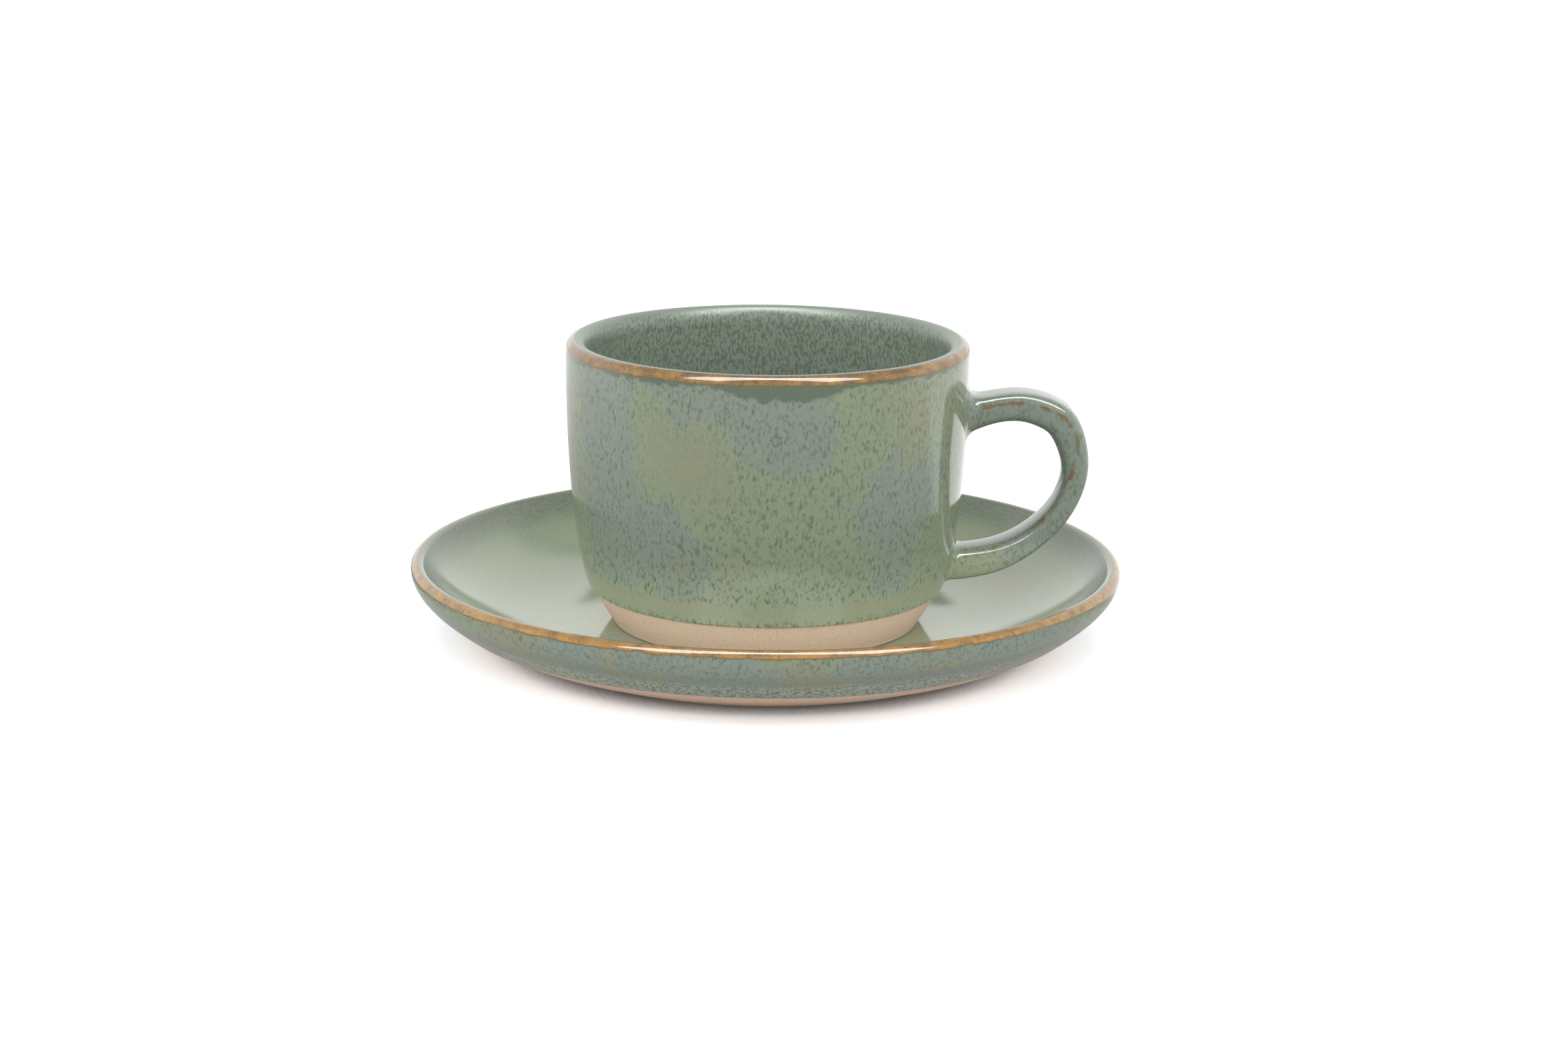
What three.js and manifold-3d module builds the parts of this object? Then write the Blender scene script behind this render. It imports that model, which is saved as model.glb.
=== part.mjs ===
// A stoneware coffee cup standing on its saucer, in millimetres with +Z up.
// The origin is the centre of the saucer's foot, on the table, and the cup's handle points along +X.
// Each clay body carries a fired coat of glaze, a shell of its own, that stops short of the foot.

import * as THREE from 'three';
import { mergeVertices } from 'three/addons/utils/BufferGeometryUtils.js';
import Module from 'manifold-3d';

// Glaze and joints
const GLAZE_THICKNESS = 0.4;
const BOND_GAP = 0.05; // between a clay surface and its glaze
const LUTE_GAP = 0.3; // film of slip between the handle's roots and the cup's wall

// Saucer, over the bare clay
const SAUCER_RADIUS = 74.05;
const SAUCER_HEIGHT = 17.65;
const SAUCER_RIM_THICKNESS = 2.3;
const SAUCER_FLOOR_RADIUS = 40;
const SAUCER_FLOOR_HEIGHT = 4.05;
const SAUCER_FOOT_RADIUS = 50.5;
const SAUCER_FOOT_WIDTH = 5;
const SAUCER_FOOT_RECESS = 0.9;
const SAUCER_HEEL_INSET = 12.6; // rim to the heel, at the bottom of the flank
const SAUCER_HEEL_HEIGHT = 3.5;
const SAUCER_GLAZE_INSET = 8.6; // rim to the line where the glaze stops on the flank
const SAUCER_GLAZE_HEIGHT = 6.7;

// Shares of each run at which the saucer's curves are pulled
const RISE_LEVEL_RATIO = 0.47; // how long the rise keeps the floor's level
const RISE_PULL_OUT_RATIO = 0.84;
const RISE_PULL_UP_RATIO = 0.45;
const FLANK_PLUMB_RATIO = 0.3; // how long the flank keeps the rim's plumb
const FLANK_PULL_IN_RATIO = 0.35;
const FLANK_PULL_UP_RATIO = 0.4;

// Cup, over the bare clay, with heights above its own foot
const CUP_RADIUS = 41.6;
const CUP_HEIGHT = 59.55;
const CUP_WALL = 3;
const CUP_FLOOR_HEIGHT = 4.6;
const CUP_CORNER_REACH = 13; // how far the round between the floor and the wall runs, each way
const CUP_SHOULDER_INSET = 1.3; // how far the wall has drawn in at the shoulder
const CUP_SHOULDER_HEIGHT = 17.5;
const CUP_GLAZE_INSET = 4.8; // how far the wall has drawn in at the glaze line
const CUP_GLAZE_HEIGHT = 8.3;
const CUP_FOOT_RADIUS = 32.3;
const CUP_FOOT_WIDTH = 5;
const CUP_FOOT_RECESS = 1.2;
const FOOT_BEVEL = 0.6; // worn lower edge of both feet

// Handle, a flat strap of clay bent into a loop
const HANDLE_REACH = 22.6; // from the cup's wall to the strap's centreline
const HANDLE_CREST_HEIGHT = 46.2;
const HANDLE_ROOT_HEIGHT = 12.3; // centreline where the strap returns to the wall
const STRAP_WIDTH = 9.1;
const STRAP_THICKNESS = 5.2;

// The strap's centreline: shares of its reach, of its height from lower root to crest, and of its thickness
const UPPER_ROOT_UP_RATIO = 0.92;
const UPPER_ROOT_SWELL_RATIO = 1.3;
const LOWER_ROOT_SWELL_RATIO = 1.36;
const STRAP_LINE_RATIOS = [
  [0.2, 0.975, 1.02],
  [0.49, 1, 1.06],
  [0.75, 0.95, 1.16],
  [0.9, 0.865, 1.16],
  [1, 0.655, 0.95],
  [0.955, 0.47, 0.82],
  [0.82, 0.31, 0.8],
  [0.56, 0.15, 0.87],
  [0.21, 0.04, 1.08],
];
const STRAP_SQUARENESS = 3.4; // exponent of the section's rounded rectangle
const ROOT_FLARE_RATIO = 0.16; // extra width at the roots, as a share of the strap's
const ROOT_FLARE_POWER = 6; // how suddenly the extra width comes

// Facets
const ROUND_STEPS = 36;
const CURVE_STEPS = 4;
const WALL_STEPS = 6;
const WALL_SAMPLES = 60; // for finding the wall's radius at a height
const STRAP_STEPS = 24;
const SECTION_STEPS = 12;

const wasm = await Module();
wasm.setup();

const clay = new THREE.MeshStandardMaterial({ color: 0xb3a089, roughness: 0.9, metalness: 0 });
const glaze = new THREE.MeshStandardMaterial({ color: 0x7d8c79, roughness: 0.15, metalness: 0 });

// Moves an outline's points by a distance to the left of its direction of travel, out of the clay.
function grow(points, distance) {
  const lefts = points.slice(1).map((to, i) => {
    const from = points[i];
    return new THREE.Vector2(from.y - to.y, to.x - from.x).normalize();
  });
  return points.map((point, i) => {
    const before = lefts[Math.max(i - 1, 0)];
    const after = lefts[Math.min(i, lefts.length - 1)];
    const normal = before.clone().add(after).normalize();
    return point.clone().addScaledVector(normal, distance / normal.dot(before));
  });
}

// Turns an outline of radius and height about +Z. It runs from the top of the axis round to the bottom.
function turned(points) {
  return new THREE.LatheGeometry(points.toReversed(), ROUND_STEPS).rotateX(Math.PI / 2);
}

// A coat of glaze over a clay surface that starts on the axis and ends at the glaze line.
function coat(skin) {
  const inner = grow(skin, BOND_GAP);
  const outer = grow(skin, BOND_GAP + GLAZE_THICKNESS);
  return turned([...outer, ...inner.reverse()]);
}

// A closed geometry as a manifold solid, ready to be cut or joined.
function solidOf(geometry) {
  const bare = geometry.clone();
  bare.deleteAttribute('normal');
  bare.deleteAttribute('uv');
  const merged = mergeVertices(bare);
  const corners = merged.index.array;
  const triVerts = [];
  for (let i = 0; i < corners.length; i += 3) {
    const [a, b, c] = corners.subarray(i, i + 3);
    if (a !== b && b !== c && c !== a) {
      triVerts.push(a, b, c);
    }
  }
  return new wasm.Manifold(new wasm.Mesh({
    numProp: 3,
    vertProperties: new Float32Array(merged.attributes.position.array),
    triVerts: new Uint32Array(triVerts),
  }));
}

function geometryOf(solid) {
  const mesh = solid.getMesh();
  const geometry = new THREE.BufferGeometry();
  geometry.setAttribute('position', new THREE.BufferAttribute(mesh.vertProperties, 3));
  geometry.setIndex(new THREE.BufferAttribute(mesh.triVerts, 1));
  return geometry;
}

// Joins rings of points into a closed skin with flat ends.
function loft(rings) {
  const sides = rings[0].length;
  const last = (rings.length - 1) * sides;
  const index = [];
  for (let start = 0; start < last; start += sides) {
    for (let side = 0; side < sides; side += 1) {
      const a = start + side;
      const b = start + ((side + 1) % sides);
      index.push(a, b, b + sides, a, b + sides, a + sides);
    }
  }
  for (let side = 1; side < sides - 1; side += 1) {
    index.push(0, side + 1, side, last, last + side, last + side + 1);
  }
  const geometry = new THREE.BufferGeometry().setFromPoints(rings.flat());
  geometry.setIndex(index);
  return geometry;
}

// Surface of the saucer that carries glaze: floor, rise, rounded rim, then down the flank.
function saucerSkin() {
  const lip = SAUCER_RIM_THICKNESS / 2;
  const lipHeight = SAUCER_HEIGHT - lip;
  const innerRim = SAUCER_RADIUS - SAUCER_RIM_THICKNESS;
  const glazeRadius = SAUCER_RADIUS - SAUCER_GLAZE_INSET;
  const rise = innerRim - SAUCER_FLOOR_RADIUS;
  const climb = lipHeight - SAUCER_FLOOR_HEIGHT;
  const flank = lipHeight - SAUCER_GLAZE_HEIGHT;
  const path = new THREE.Path();
  path.moveTo(0, SAUCER_FLOOR_HEIGHT);
  path.lineTo(SAUCER_FLOOR_RADIUS, SAUCER_FLOOR_HEIGHT);
  path.bezierCurveTo(
    SAUCER_FLOOR_RADIUS + RISE_LEVEL_RATIO * rise, SAUCER_FLOOR_HEIGHT,
    SAUCER_FLOOR_RADIUS + RISE_PULL_OUT_RATIO * rise, SAUCER_FLOOR_HEIGHT + RISE_PULL_UP_RATIO * climb,
    innerRim, lipHeight,
  );
  path.absarc(innerRim + lip, lipHeight, lip, Math.PI, 0, true);
  path.bezierCurveTo(
    SAUCER_RADIUS, lipHeight - FLANK_PLUMB_RATIO * flank,
    SAUCER_RADIUS - FLANK_PULL_IN_RATIO * SAUCER_GLAZE_INSET,
    SAUCER_GLAZE_HEIGHT + FLANK_PULL_UP_RATIO * flank,
    glazeRadius, SAUCER_GLAZE_HEIGHT,
  );
  return path.getPoints(CURVE_STEPS);
}

// Bare clay of the saucer from the glaze line to the axis: heel, foot ring and recess.
function saucerFoot() {
  const ringInside = SAUCER_FOOT_RADIUS - SAUCER_FOOT_WIDTH;
  return [
    new THREE.Vector2(SAUCER_RADIUS - SAUCER_HEEL_INSET, SAUCER_HEEL_HEIGHT),
    new THREE.Vector2(SAUCER_FOOT_RADIUS + FOOT_BEVEL, FOOT_BEVEL),
    new THREE.Vector2(SAUCER_FOOT_RADIUS, 0),
    new THREE.Vector2(ringInside, 0),
    new THREE.Vector2(ringInside - SAUCER_FOOT_RECESS, SAUCER_FOOT_RECESS),
    new THREE.Vector2(0, SAUCER_FOOT_RECESS),
  ];
}

// Outside of the cup's wall, from the lip's outer edge down to the glaze line.
function cupOutside() {
  const lipHeight = CUP_HEIGHT - CUP_WALL / 2;
  const top = new THREE.Vector2(CUP_RADIUS, lipHeight);
  const upper = new THREE.Vector2(CUP_RADIUS, (lipHeight + CUP_SHOULDER_HEIGHT) / 2);
  const shoulder = new THREE.Vector2(CUP_RADIUS - CUP_SHOULDER_INSET, CUP_SHOULDER_HEIGHT);
  const glazeLine = new THREE.Vector2(CUP_RADIUS - CUP_GLAZE_INSET, CUP_GLAZE_HEIGHT);
  return new THREE.CubicBezierCurve(top, upper, shoulder, glazeLine);
}

// Radius of the cup's clay wall at a height above its foot.
function wallRadius(height) {
  const points = cupOutside().getPoints(WALL_SAMPLES);
  const below = points.findIndex((point) => point.y <= height);
  return points[below < 0 ? points.length - 1 : below].x;
}

// Surface of the cup that carries glaze: floor, round corner, inside wall, lip, then down the outside.
function cupSkin() {
  const lip = CUP_WALL / 2;
  const lipHeight = CUP_HEIGHT - lip;
  const cornerHeight = CUP_FLOOR_HEIGHT + CUP_CORNER_REACH;
  const cornerRadius = wallRadius(cornerHeight) - CUP_WALL;
  const innerRim = CUP_RADIUS - CUP_WALL;
  const path = new THREE.Path();
  path.moveTo(0, CUP_FLOOR_HEIGHT);
  path.lineTo(cornerRadius - CUP_CORNER_REACH, CUP_FLOOR_HEIGHT);
  path.quadraticCurveTo(cornerRadius, CUP_FLOOR_HEIGHT, cornerRadius, cornerHeight);
  path.quadraticCurveTo(innerRim, (cornerHeight + lipHeight) / 2, innerRim, lipHeight);
  path.absarc(innerRim + lip, lipHeight, lip, Math.PI, 0, true);
  return [...path.getPoints(CURVE_STEPS), ...cupOutside().getPoints(WALL_STEPS).slice(1)];
}

// Bare clay of the cup from the glaze line to the axis: tapered foot and recess.
function cupFoot() {
  const ringInside = CUP_FOOT_RADIUS - CUP_FOOT_WIDTH;
  return [
    new THREE.Vector2(CUP_FOOT_RADIUS, FOOT_BEVEL),
    new THREE.Vector2(CUP_FOOT_RADIUS - FOOT_BEVEL, 0),
    new THREE.Vector2(ringInside, 0),
    new THREE.Vector2(ringInside - CUP_FOOT_RECESS, CUP_FOOT_RECESS),
    new THREE.Vector2(0, CUP_FOOT_RECESS),
  ];
}

// The cup's outer envelope, filled in, standing off its clay by a distance.
function cupEnvelope(distance) {
  const outside = grow(cupOutside().getPoints(WALL_STEPS), distance);
  const top = new THREE.Vector2(0, outside[0].y);
  const bottom = new THREE.Vector2(0, FOOT_BEVEL);
  return solidOf(turned([top, ...outside, new THREE.Vector2(CUP_FOOT_RADIUS, FOOT_BEVEL), bottom]));
}

// The bent strap, grown by a distance all over, with both ends sunk to the middle of the cup's wall.
function strap(distance) {
  const fall = HANDLE_CREST_HEIGHT - HANDLE_ROOT_HEIGHT;
  const root = (up, swell) => {
    const height = HANDLE_ROOT_HEIGHT + up * fall;
    return [wallRadius(height) - CUP_WALL / 2 - distance, height, swell];
  };
  const stations = [
    root(UPPER_ROOT_UP_RATIO, UPPER_ROOT_SWELL_RATIO),
    ...STRAP_LINE_RATIOS.map(([out, up, swell]) => [
      CUP_RADIUS + out * HANDLE_REACH,
      HANDLE_ROOT_HEIGHT + up * fall,
      swell,
    ]),
    root(0, LOWER_ROOT_SWELL_RATIO),
  ];
  const line = new THREE.SplineCurve(stations.map(([x, z]) => new THREE.Vector2(x, z)));
  const rings = [];
  for (let step = 0; step <= STRAP_STEPS; step += 1) {
    const share = step / STRAP_STEPS;
    const place = share * (stations.length - 1);
    const station = Math.min(Math.floor(place), stations.length - 2);
    const thickness = THREE.MathUtils.lerp(stations[station][2], stations[station + 1][2], place - station);
    const flare = 1 + ROOT_FLARE_RATIO * Math.abs(2 * share - 1) ** ROOT_FLARE_POWER;
    const centre = line.getPoint(share);
    const along = line.getTangent(share);
    const halfWidth = (flare * STRAP_WIDTH) / 2 + distance;
    const halfThickness = (thickness * STRAP_THICKNESS) / 2 + distance;
    rings.push(strapSection(halfWidth, halfThickness).map((point) => new THREE.Vector3(
      centre.x - point.y * along.y,
      point.x,
      centre.y + point.y * along.x,
    )));
  }
  return solidOf(loft(rings));
}

// Rounded rectangle with a half width across the handle and a half thickness.
function strapSection(halfWidth, halfThickness) {
  const bend = (value) => Math.sign(value) * Math.abs(value) ** (2 / STRAP_SQUARENESS);
  return Array.from({ length: SECTION_STEPS }, (_, side) => {
    const angle = (2 * Math.PI * (side + 0.5)) / SECTION_STEPS;
    return new THREE.Vector2(halfWidth * bend(Math.cos(angle)), halfThickness * bend(Math.sin(angle)));
  });
}

// The handle's clay, cut to sit against the wall with the film of slip between them.
function handleClay() {
  return geometryOf(strap(0).subtract(cupEnvelope(LUTE_GAP)));
}

// One coat over the cup and its handle, open where the handle's clay passes through to the wall.
function cupCoat(skin) {
  const overHandle = strap(BOND_GAP + GLAZE_THICKNESS).subtract(cupEnvelope(BOND_GAP + GLAZE_THICKNESS / 2));
  return geometryOf(solidOf(coat(skin)).add(overHandle).subtract(strap(BOND_GAP)));
}

function piece(name, geometry, material) {
  const mesh = new THREE.Mesh(geometry, material);
  mesh.name = name;
  return mesh;
}

const saucerTop = saucerSkin();
const cupTop = cupSkin();

const saucer = new THREE.Group();
saucer.add(
  piece('saucer_body', turned([...saucerTop, ...saucerFoot()]), clay),
  piece('saucer_glaze', coat(saucerTop), glaze),
);

const cup = new THREE.Group();
cup.position.z = SAUCER_FLOOR_HEIGHT + BOND_GAP + GLAZE_THICKNESS;
cup.add(
  piece('cup_body', turned([...cupTop, ...cupFoot()]), clay),
  piece('cup_handle', handleClay(), clay),
  piece('cup_glaze', cupCoat(cupTop), glaze),
);

const group = new THREE.Group();
group.add(saucer, cup);
export default group;
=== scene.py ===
"""A stoneware coffee cup on its saucer: turned clay, a luted strap handle and a mottled green glaze.

The pieces are built in metres in the packed model's own frame: +Z up, the saucer's foot on z = 0, and the
cup's handle towards +X. Heights of the cup and its handle are above the cup's own foot.
"""

import math

import bpy
import numpy as np
from mathutils import Matrix, Vector


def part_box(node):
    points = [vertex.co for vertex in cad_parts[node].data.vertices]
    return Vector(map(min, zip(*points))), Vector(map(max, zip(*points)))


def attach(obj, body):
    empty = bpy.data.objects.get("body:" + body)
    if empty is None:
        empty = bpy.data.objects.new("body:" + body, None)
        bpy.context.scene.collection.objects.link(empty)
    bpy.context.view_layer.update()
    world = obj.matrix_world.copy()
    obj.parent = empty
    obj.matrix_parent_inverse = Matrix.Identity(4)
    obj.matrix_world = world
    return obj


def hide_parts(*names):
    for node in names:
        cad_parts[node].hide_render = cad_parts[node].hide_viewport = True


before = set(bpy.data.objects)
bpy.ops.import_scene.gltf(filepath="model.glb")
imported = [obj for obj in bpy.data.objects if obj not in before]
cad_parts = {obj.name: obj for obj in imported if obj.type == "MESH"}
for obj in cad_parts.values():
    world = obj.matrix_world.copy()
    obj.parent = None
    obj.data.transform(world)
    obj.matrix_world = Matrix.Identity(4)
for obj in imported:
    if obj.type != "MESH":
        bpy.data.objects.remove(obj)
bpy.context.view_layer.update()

bl_info = {
    "name": "Stoneware Cup and Saucer",
    "version": (1, 0, 0),
    "blender": (4, 5, 0),
    "location": "View3D > Sidebar > Cup",
    "description": "Builds a glazed stoneware cup with its saucer and a plain studio",
    "category": "Add Mesh",
}

MM = 0.001

# Attributes that the turned outlines carry to the shaders
EDGE = "edge"  # how thin molten glaze has run on the crest of a lip or ridge, from 0 to 1
BELOW_LIP = "below_lip"  # metres down the outside from the lip, below 0 inside
ABOVE_LINE = "above_line"  # metres over the skin from the glaze line, below 0 on bare clay
STEEP = "steep"  # 1 where the skin is plumb and 0 where it is level
OUTLINE_MARKS = (EDGE, BELOW_LIP, ABOVE_LINE, STEEP)

# Shares of each run at which the saucer's curves are pulled, and where its rim starts
RISE_LEVEL = 0.47  # how long the rise keeps the floor's level
RISE_OUT = 0.84
RISE_UP = 0.45
FLANK_PLUMB = 0.3  # how long the flank keeps the rim's plumb
FLANK_IN = 0.35
FLANK_UP = 0.4
RIM_START = math.radians(145)  # turn at which the saucer's rise meets the round of its rim

# Fineness of the meshes
FLOOR_STEPS = 20
CURVE_STEPS = 40
LIP_STEPS = 24
BEVEL_STEPS = 4
ROLL_STEPS = 6
HIDDEN_SKIP = 5  # of the points on the hidden side of a coat, one in this many is kept
ROUND_STEPS = 192
STRAP_SAMPLES = 480
STRAP_RINGS = 150
STRAP_SIDES = 72
FILLET_RINGS = 12
WELD = 0.002 * MM  # points nearer than this are one

# Seeds of the coats' wobble
SAUCER_SEED = 2.0
CUP_SEED = 5.0


def linear(code):
    """Linear RGBA of an sRGB hex colour."""
    shares = [int(code[i:i + 2], 16) / 255 for i in (0, 2, 4)]
    return [s / 12.92 if s <= 0.04045 else ((s + 0.055) / 1.055) ** 2.4 for s in shares] + [1.0]


def length(name, millimetres, description):
    """A size that the sidebar shows, in metres."""
    return bpy.props.FloatProperty(
        name=name, description=description, default=millimetres * MM, min=0.0, unit="LENGTH", precision=5)


def colour(name, code, description):
    """A colour that the sidebar shows."""
    return bpy.props.FloatVectorProperty(
        name=name, description=description, default=linear(code)[:3], size=3, min=0.0, max=1.0,
        subtype="COLOR")


def share(name, value, description):
    """A plain number that the sidebar shows."""
    return bpy.props.FloatProperty(name=name, description=description, default=value, precision=3)


class CUPSET_PG_glaze(bpy.types.PropertyGroup):
    """The fired coat and its colours."""
    thickness: length("Thickness", 0.4, "Thickness of the fired glaze")
    bond: length("Bond", 0.05, "Gap between the clay and the glaze")
    wobble: length("Wobble", 0.1, "How far the coat sinks below its full thickness as it runs")
    wobble_size: length("Wobble size", 16.0, "Distance from one thin place to the next")
    green: colour("Green", "6e7762", "Body colour of the glaze")
    blue: colour("Blue grey", "6a7369", "Clouds where the glaze lies thick")
    olive: colour("Olive", "707460", "Clouds where the glaze lies thin")
    # Inside of the cup: partly the thick glaze's colour, and partly painted shade
    deep_and_shaded: colour("Deep", "687366", "Inside of the cup, where the glaze lies thickest")
    dark: colour("Dark", "4b5548", "Flecks, and the band below the lip")
    umber: colour("Umber", "614e35", "Border of the break on an edge")
    ochre: colour("Ochre", "906f40", "Break on an edge, where iron in the clay shows through")


class CUPSET_PG_clay(bpy.types.PropertyGroup):
    """The bare clay's colours."""
    body: colour("Body", "cfb5a0", "Fired stoneware")
    toast: colour("Toast", "94744c", "Line that the flame toasts beside the glaze")
    grain: colour("Grain", "b0937b", "Coarse dark grains in the clay")


class CUPSET_PG_saucer(bpy.types.PropertyGroup):
    """Sizes of the saucer, over the bare clay."""
    radius: length("Radius", 74.05, "Centre to the outside of the rim")
    height: length("Height", 17.65, "Table to the top of the rim")
    rim: length("Rim", 2.3, "Thickness of the rim")
    floor_radius: length("Floor radius", 40.0, "Centre to the start of the rise")
    floor_height: length("Floor height", 4.05, "Table to the floor's upper side")
    foot_radius: length("Foot radius", 50.5, "Centre to the outside of the foot ring")
    foot_width: length("Foot width", 5.0, "Width of the foot ring")
    foot_recess: length("Foot recess", 0.9, "Depth of the hollow inside the foot ring")
    heel_inset: length("Heel inset", 12.6, "Rim to the heel, at the bottom of the flank")
    heel_height: length("Heel height", 3.5, "Table to the heel")
    line_inset: length("Glaze line inset", 8.6, "Rim to the glaze line")
    line_height: length("Glaze line height", 6.7, "Table to the glaze line")
    bevel: length("Bevel", 0.6, "Worn lower edge of the foot")
    break_turn: bpy.props.FloatProperty(
        name="Break turn", description="Turn from level at which the rim's break is centred",
        default=math.radians(48), subtype="ANGLE")
    break_reach: length("Break reach", 1.2, "How far the break reaches to each side")
    break_strength: share("Break strength", 0.85, "How far the glaze thins on the rim, from 0 to 1")


class CUPSET_PG_cup(bpy.types.PropertyGroup):
    """Sizes of the cup, over the bare clay."""
    radius: length("Radius", 41.6, "Centre to the outside of the rim")
    height: length("Height", 59.55, "Foot to the top of the rim")
    wall: length("Wall", 3.0, "Thickness of the wall")
    lip_drop: length("Lip drop", 3.4, "How far down the inside the round of the lip reaches")
    lip_swell: length("Lip swell", 0.7, "How much thicker the wall is below the lip")
    floor_height: length("Floor height", 4.6, "Foot to the floor's upper side")
    corner: length("Corner", 13.0, "Reach of the round between the floor and the wall")
    shoulder_inset: length("Shoulder inset", 1.3, "How far the wall has drawn in at the shoulder")
    shoulder_height: length("Shoulder height", 17.5, "Foot to the shoulder")
    line_inset: length("Glaze line inset", 4.5, "How far the wall has drawn in at the glaze line")
    line_height: length("Glaze line height", 8.3, "Foot to the glaze line")
    foot_radius: length("Foot radius", 32.3, "Centre to the outside of the foot")
    foot_width: length("Foot width", 5.0, "Width of the foot ring")
    foot_recess: length("Foot recess", 1.2, "Depth of the hollow inside the foot ring")
    bevel: length("Bevel", 0.6, "Worn lower edge of the foot")
    break_turn: bpy.props.FloatProperty(
        name="Break turn", description="Turn from level at which the rim's break is centred",
        default=math.radians(38), subtype="ANGLE")
    break_reach: length("Break reach", 1.5, "How far the break reaches to each side")
    break_strength: share("Break strength", 0.7, "How far the glaze thins on the rim, from 0 to 1")


class CUPSET_PG_handle(bpy.types.PropertyGroup):
    """Sizes of the handle, over the bare clay."""
    reach: length("Reach", 22.9, "Cup's wall to the strap's centreline")
    crest_height: length("Crest height", 46.6, "Cup's foot to the highest point of the centreline")
    root_height: length("Root height", 12.3, "Cup's foot to the centreline's lower root")
    width: length("Width", 9.9, "Width of the strap")
    thickness: length("Thickness", 5.2, "Thickness of the strap")
    squareness: share("Squareness", 4.5, "Exponent of the section's outer half, a rounded rectangle")
    roundness: share("Roundness", 2.7, "Exponent of the section's inner half")
    flare: share("Flare", 0.16, "Extra width at the roots, as a share of the strap's")
    fillet_outside: length("Outer fillet", 3.2, "Round between the wall and the outside of the loop")
    fillet_inside: length("Inner fillet", 2.2, "Round between the wall and the inside of the loop")
    fillet_below: length("Lower fillet", 0.9, "Round between the wall and the underside of the lower root")


# The strap's centreline: shares of its reach, of its height from lower root to crest, and of its thickness
STRAP_LINE = (
    (0.2, 0.975, 1.02),
    (0.49, 1, 1.06),
    (0.75, 0.95, 1.16),
    (0.9, 0.865, 1.16),
    (1, 0.655, 0.95),
    (0.955, 0.47, 0.82),
    (0.82, 0.31, 0.8),
    (0.56, 0.15, 0.87),
    (0.21, 0.04, 1.08),
)
UPPER_ROOT = (0.92, 1.3)
LOWER_ROOT = (0.012, 1.12)
ROOT_FLARE_POWER = 6
ROOT_FEATHER = 0.6 * MM  # how far a fillet's edge runs on as it sinks into the wall's glaze
FEATHER_START = 0.5  # shares of the coat's wobble by which a fillet's edge has sunk
FEATHER_END = 0.9
ROOT_DEPTH = 1.0 * MM  # how far the strap's ends reach into the wall

# The break on the strap: places along it, then where it lies across it (1 outside) and how thin the glaze is
RIDGE_ALONG = (0, 0.42, 0.58, 1)
RIDGE_ACROSS = (0.45, 0.4, -0.7, -0.7)
RIDGE_WIDTH = 0.25
WORN_ALONG = (0, 0.45, 0.65, 1)
WORN_DEPTH = (0.57, 0.55, 0.4, 0.2)
ROOT_WORN = 0.55  # on the crease round the upper root
STRAP_STEEP = 0.85  # the whole strap is marked as this steep
STRAP_SMOOTHING = 44  # samples that the centreline is averaged over, to each side


# Clouds in known places on the front, as centres and reaches in millimetres, under their noise's seed
BLUE_SEED = 3.1
OLIVE_SEED = 8.4
CLOUDS = {
    BLUE_SEED: (
        ((1.7, -42, 54), (13, 14, 8)),
        ((-32, -27, 37), (9, 12, 28)),
        ((-17, -38, 61), (13, 14, 6)),
        ((25, -33, 32), (9, 12, 15)),
        ((-24, -34, 26), (11, 12, 8)),
        ((58, 0, 42), (12, 12, 18)),
        ((56, 0, 24), (12, 12, 9)),
        ((0, -70, 9), (70, 24, 9)),
    ),
    OLIVE_SEED: (
        ((-18, -38, 45), (9, 12, 9)),
        ((29, -30, 52), (5, 8, 7)),
        ((-25, -68, 13), (6, 8, 3)),
        ((10, -72, 12), (4, 8, 3)),
        ((-48, -54, 13), (5, 8, 3)),
        ((34, -65, 12), (6, 8, 3)),
    ),
}
LIP_BAND = ((3.5, -42, 63), (10, 20, 12))  # where the band below the lip reaches lowest

# Pattern of the glaze: sizes and heights in millimetres, distances along the skin in metres, the rest shares
NEAR_SPAN = (1.5, 0.5)  # shares of a region's reach between which nearness grows from 0 to 1
PLUMB_SPAN = (0.55, 0.95)  # steepness between which a skin comes to count as plumb
SAUCER_TOP = 12.0  # an outside is treated as the saucer's flank below this height, and above it as the cup's
SAUCER_SPAN = (SAUCER_TOP, SAUCER_TOP + 1)
CUP_SPAN = (20.0, 30.0)  # heights that only the cup reaches
FLECK_SIZE = 0.62
FLECK_DRAW = (1.0, 1.0, 0.5)  # flecks are twice as tall as they are wide
FLECK_FINENESS = 1.2  # of flecks inside, against those outside
FLECK_START = 0.46  # noise at which a fleck starts
FLECK_FULL = (0.72, 0.58)  # noise at which a fleck is full, outside and inside the cup
FLECK_DEPTH = 0.85
FLECKS_ON_CALM = 0.2
FLECKS_ON_LEVEL = 0.15
STRAY_SIZE = 9  # of the noise that lets the clouds' borders wander
STRAY_REACH = 26
BLUE_SIZE = 24
OLIVE_SIZE = 18
CLOUD_PULL = 0.3  # how strongly a known place draws a cloud
CLOUD_RAGGED = 0.4  # how far flecks fray a cloud's border
CLOUD_SPAN = (0.76, 0.9)
TIDE_WANDER = 1.5 * MM
TIDE_TOP = (6.5 * MM, 4.5 * MM)
TIDE_FOOT = (1.4 * MM, 2.4 * MM)
LEVEL_LIGHT_SPAN = (0.5, 0.9)  # steepness between which painted light on level glaze fades
LEVEL_LIGHT_GAIN = 1.7
LEVEL_LIGHT_INSET = (-2 * MM, -8 * MM)
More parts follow.
